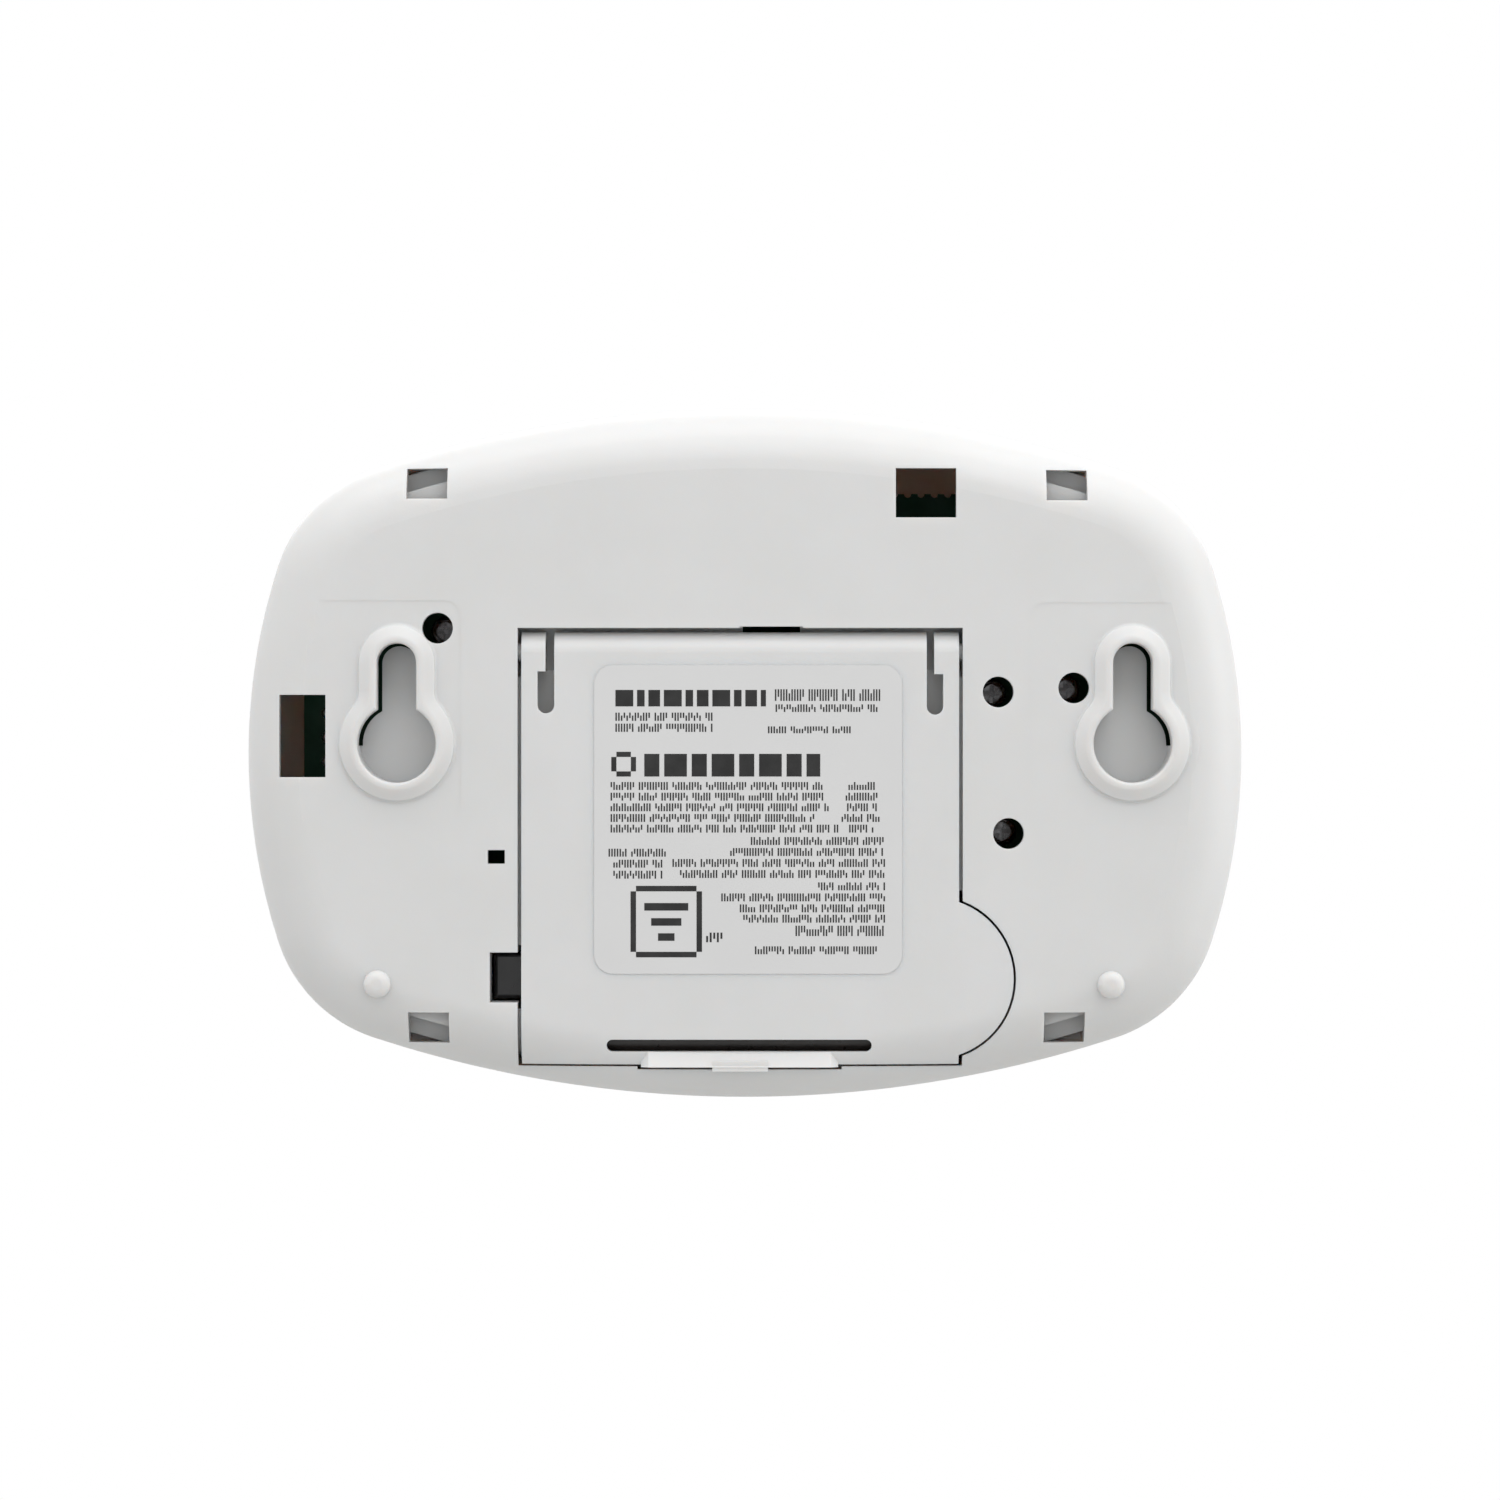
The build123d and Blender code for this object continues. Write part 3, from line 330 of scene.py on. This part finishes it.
class Print:
    """Ink on the label, placed from its upper left corner as seen from behind."""

    def __init__(self):
        low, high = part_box("rating_label")
        self.left, self.top = high[0], high[2]
        self.near, self.far = high[1] - INK_SINK, high[1] + INK_THICK
        self.shape = bmesh.new()
        self.dice = random.Random(7)

    def block(self, u0, u1, v0, v1):
        """Solid rectangle between two distances across and two distances down, in metres."""
        low = (self.left - u1, self.near, self.top - v1)
        add_box(self.shape, low, (self.left - u0, self.far, self.top - v0))

    def frame(self, u0, u1, v0, v1, width):
        """Outline of a rectangle with open corners, which isn't any known mark."""
        for sides in frame_sides(u0, u1, v0, v1, width):
            self.block(*sides)

    def line(self, u0, u1, v0, height=BODY_HEIGHT, scale=1.0):
        """Row of word-like groups of plain strokes, which says nothing."""
        u = u0
        strokes_left = self.dice.randint(6, 16)
        while u + STROKE * scale < u1:
            drop, rise = self.dice.choice([(0, 0), (0, 0), (0.35, 0), (0, 0.35)])
            self.block(u, u + STROKE * scale, v0 + drop * height, v0 + (1 - rise) * height)
            u += STROKE_PITCH * scale
            strokes_left -= 1
            if strokes_left == 0:
                u += WORD_GAP * scale
                strokes_left = self.dice.randint(5, 16)

    def heading(self, u0, u1, v0, v1, widths, gap):
        """Row of heavy plain blocks."""
        u = u0
        for width in itertools.cycle(widths):
            if u >= u1 - gap:
                break
            self.block(u, min(u + width, u1), v0, v1)
            u += width + gap


def make_print():
    ink = Look("label_ink", (0.022, 0.022, 0.022), 0.55, Specular_IOR_Level=0.3)
    ink.mottle(3 * MM, 0.25).polish(2 * MM, 0.5, 0.65).grain(0.3 * MM, 0.003 * MM, 0.4)
    page = Print()
    for left, right, top, *height in PRINT_LINES:
        page.line(left * MM, right * MM, top * MM, height[0] * MM if height else BODY_HEIGHT)
    for row, (end, (left, right)) in enumerate(zip(PARAGRAPH, COLUMN)):
        top = (PARAGRAPH_TOP + PARAGRAPH_PITCH * row) * MM
        page.line(PARAGRAPH_LEFT * MM, end * MM, top)
        page.line(left * MM, right * MM, top)
    for left, right, top, foot, widths, gap in HEADINGS:
        page.heading(left * MM, right * MM, top * MM, foot * MM, [w * MM for w in widths], gap * MM)
    for edges in FRAMES:
        page.frame(*(edge * MM for edge in edges))
    for row, half in enumerate(BAR_HALVES):
        top = (BARS_TOP + BARS_PITCH * row) * MM
        page.block((BARS_X - half) * MM, (BARS_X + half) * MM, top, top + BAR_HEIGHT * MM)
    left, right, top, height, scale = SIDE_NOTE
    page.line(left * MM, right * MM, top * MM, height * MM, scale)
    make_piece("label_print", page.shape, ink.material, "door")


# ---- battery, bay and board details ---------------------------------------------
SKIN = 0.12 * MM                    # how far a metal end stands off the battery, and a print reaches into it
FOIL = 0.03 * MM                    # rise of the battery's print
RIM_WIDTH, RIM_INSET = 0.9 * MM, 1.6 * MM
BAND_STRIPES = [(3.2, 11.0), (12.2, 13.0)]              # from the battery's foot end
BAND_FOOT, BAND_HEAD = 7 * MM, 2 * MM                   # bare wrap below and above the band
SIGN_X, SIGN_ARM, SIGN_HALF = 5.5 * MM, 1.6 * MM, 0.35 * MM
SHELF_DEPTH = 8.0 * MM              # floor of the bay above the battery, from the wall plane
MARK_LINE, MARK_SINK, MARK_RISE = 0.5 * MM, 0.1 * MM, 0.25 * MM
MARK_X0, MARK_X1 = 14 * MM, 32 * MM                     # from the battery's foot end
MARK_Z0, MARK_Z1 = 3.2 * MM, 10.2 * MM                  # above the battery
MARK_POLE, MARK_POLE_Z = 1.2 * MM, 1.4 * MM             # length and width of the outline's poles
JOINT_R, JOINT_RISE, JOINT_SIDES, JOINT_STEPS = 0.85 * MM, 0.7 * MM, 14, 4
SENSOR_LEGS = [(-6, 12), (0, 12.6), (6, 12)]            # from each part's middle, across and up
HORN_LEGS = [(-8, 0), (8, 0)]
SWITCH_LEGS = [(-2.4, -1.8), (-2.4, 1.8), (2.4, -1.8), (2.4, 1.8)]
LAMP_LEGS = [(-1.27, 0), (1.27, 0)]
EDGE_INSETS, EDGE_ROWS = (3.4, 6.0), (-2.6, 1.0, 4.6)   # joints near the board's outer edge
TRACK_ROWS, TRACK_FIRST, TRACK_PITCH, TRACK_RISE = 11, 48 * MM, 3.1 * MM, 0.04 * MM
TRACK_TURN, TRACK_END = 2.4 * MM, 24 * MM               # length of a track's upright end, and bare board left
BOARD_SINK = 0.02 * MM


def add_dome(shape, x, z, y):
    """Adds one solder joint: a low closed dome that stands on the plane at y towards +Y."""
    turn = [2 * math.pi * i / JOINT_SIDES for i in range(JOINT_SIDES)]
    loops = []
    for k in range(JOINT_STEPS):
        climb = math.pi / 2 * k / JOINT_STEPS
        r, up = JOINT_R * math.cos(climb), JOINT_RISE * math.sin(climb)
        loops.append([shape.verts.new((x + r * math.cos(t), y + up, z + r * math.sin(t))) for t in turn])
    tip = shape.verts.new((x, y + JOINT_RISE, z))
    for i in range(JOINT_SIDES):
        j = (i + 1) % JOINT_SIDES
        for low, high in zip(loops, loops[1:]):
            shape.faces.new((low[i], low[j], high[j], high[i]))
        shape.faces.new((loops[-1][i], loops[-1][j], tip))
    shape.faces.new(loops[0])
    bmesh.ops.recalc_face_normals(shape, faces=shape.faces)


def make_battery_rims():
    """Rolled metal ends of the battery, a little proud of its wrap on all four sides."""
    low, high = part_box("battery_case")
    rims = bmesh.new()
    for x0, x1 in ((low[0] - SKIN, low[0] + RIM_WIDTH), (high[0] - RIM_WIDTH, high[0] + SKIN)):
        for y in (low[1], high[1]):
            add_box(rims, (x0, y - SKIN, low[2] + RIM_INSET), (x1, y + SKIN, high[2] - RIM_INSET))
        for z in (low[2], high[2]):
            add_box(rims, (x0, low[1] + RIM_INSET, z - SKIN), (x1, high[1] - RIM_INSET, z + SKIN))
    steel = metal("rolled_steel", (0.60, 0.58, 0.54), 0.3)
    make_piece("battery_end_rims", rims, steel, "housing")


def make_battery_print():
    """A printed band and the two pole signs on the side of the battery that faces the door."""
    low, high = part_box("battery_case")
    near, far = high[1] - SKIN, high[1] + FOIL
    band = bmesh.new()
    for start, end in BAND_STRIPES:
        add_box(band, (low[0] + start * MM, near, low[2] + BAND_FOOT),
                (low[0] + end * MM, far, high[2] - BAND_HEAD))
    copper = Look("band_ink", (0.42, 0.16, 0.05), 0.3, Metallic=0.4)
    copper.mottle(3 * MM, 0.1).polish(2 * MM, 0.25, 0.4).grain(0.4 * MM, 0.005 * MM, 0.4)
    make_piece("battery_band", band, copper.material, "housing")

    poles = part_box("battery_terminals")
    x, plus, minus = high[0] - SIGN_X, poles[1][2] - 4.2 * MM, poles[0][2] + 3.7 * MM
    signs = bmesh.new()
    for z in (plus, minus):
        add_box(signs, (x - SIGN_ARM, near, z - SIGN_HALF), (x + SIGN_ARM, far, z + SIGN_HALF))
    for z0, z1 in ((SIGN_HALF, SIGN_ARM), (-SIGN_ARM, -SIGN_HALF)):
        add_box(signs, (x - SIGN_HALF, near, plus + z0), (x + SIGN_HALF, far, plus + z1))
    pale = Look("sign_ink", (0.6, 0.58, 0.52), 0.4)
    pale.mottle(2 * MM, 0.1).polish(1 * MM, 0.35, 0.5).grain(0.3 * MM, 0.004 * MM, 0.4)
    make_piece("battery_pole_signs", signs, pale.material, "housing")


def make_bay_marks():
    """Raised outline of a battery on the bay's shelf, which shows which way the battery goes in."""
    low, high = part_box("battery_case")
    x0, x1 = low[0] + MARK_X0, low[0] + MARK_X1
    z0, z1 = high[2] + MARK_Z0, high[2] + MARK_Z1
    sides = frame_sides(x0, x1, z0, z1, MARK_LINE)
    for z in (z0 + MARK_POLE, z1 - MARK_POLE - MARK_POLE_Z):
        sides.append((x1, x1 + MARK_POLE, z, z + MARK_POLE_Z))
    marks = bmesh.new()
    for a, b, c, d in sides:
        add_box(marks, (a, -SHELF_DEPTH - MARK_SINK, c), (b, -SHELF_DEPTH + MARK_RISE, d))
    make_piece("bay_battery_outline", marks, bpy.data.materials["shell_plastic"], "housing")


def joint_places():
    """Where the legs of the parts on the board's far side come through, and two rows near its edge."""
    legs = {"sensor_can": SENSOR_LEGS, "horn_contacts": HORN_LEGS, "switch_body": SWITCH_LEGS}
    legs.update({lamp: LAMP_LEGS for lamp in ("led_red", "led_amber", "led_green")})
    places = []
    for node, offsets in legs.items():
        low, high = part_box(node)
        x, z = (low[0] + high[0]) / 2, (low[2] + high[2]) / 2
        places += [(x + dx * MM, z + dz * MM) for dx, dz in offsets]
    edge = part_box("main_pcb")[1][0]
    return places + [(edge - inset * MM, z * MM) for inset in EDGE_INSETS for z in EDGE_ROWS]


def make_board_details():
    """Solder joints and covered copper tracks on the side of the board that faces the wall."""
    low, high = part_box("main_pcb")
    near = high[1] - BOARD_SINK
    joints = bmesh.new()
    for x, z in joint_places():
        add_dome(joints, x, z, near)
    make_piece("solder_joints", joints, bpy.data.materials["tin_plate"], "housing")

    tracks = bmesh.new()
    dice = random.Random(11)
    far = high[1] + TRACK_RISE
    for row in range(TRACK_ROWS):
        z = low[2] + TRACK_FIRST + TRACK_PITCH * row
        x = low[0] + dice.uniform(16, 30) * MM
        while x < high[0] - TRACK_END:
            run = dice.uniform(6, 18) * MM
            width = dice.choice((0.3, 0.3, 0.8)) * MM
            add_box(tracks, (x, near, z), (x + run, far, z + width))
            add_box(tracks, (x + run, near, z), (x + run + width, far, z + TRACK_TURN))
            x += run + dice.uniform(3, 9) * MM
    make_piece("board_tracks", tracks, board("track_mask", (0.016, 0.082, 0.040)), "housing")


# ---- floor ----------------------------------------------------------------------
def make_floor():
    mesh = bpy.data.meshes.new("floor")
    shape = bmesh.new()
    bmesh.ops.create_circle(shape, cap_ends=True, segments=96, radius=FLOOR_RADIUS)
    shape.to_mesh(mesh)
    shape.free()
    floor = bpy.data.objects.new("floor", mesh)
    floor.location.z = CAD_BOX[0][2] - FLOOR_DROP
    bpy.context.scene.collection.objects.link(floor)
    look = Look("floor_paint", (0.50, 0.50, 0.49), 0.8)
    look.mottle(400 * MM, 0.01).grain(4 * MM, 0.05 * MM, 0.2)
    floor.data.materials.append(look.material)


make_camera()
make_studio()
make_floor()
paint_frame()
make_print()
make_battery_rims()
make_battery_print()
make_bay_marks()
make_board_details()
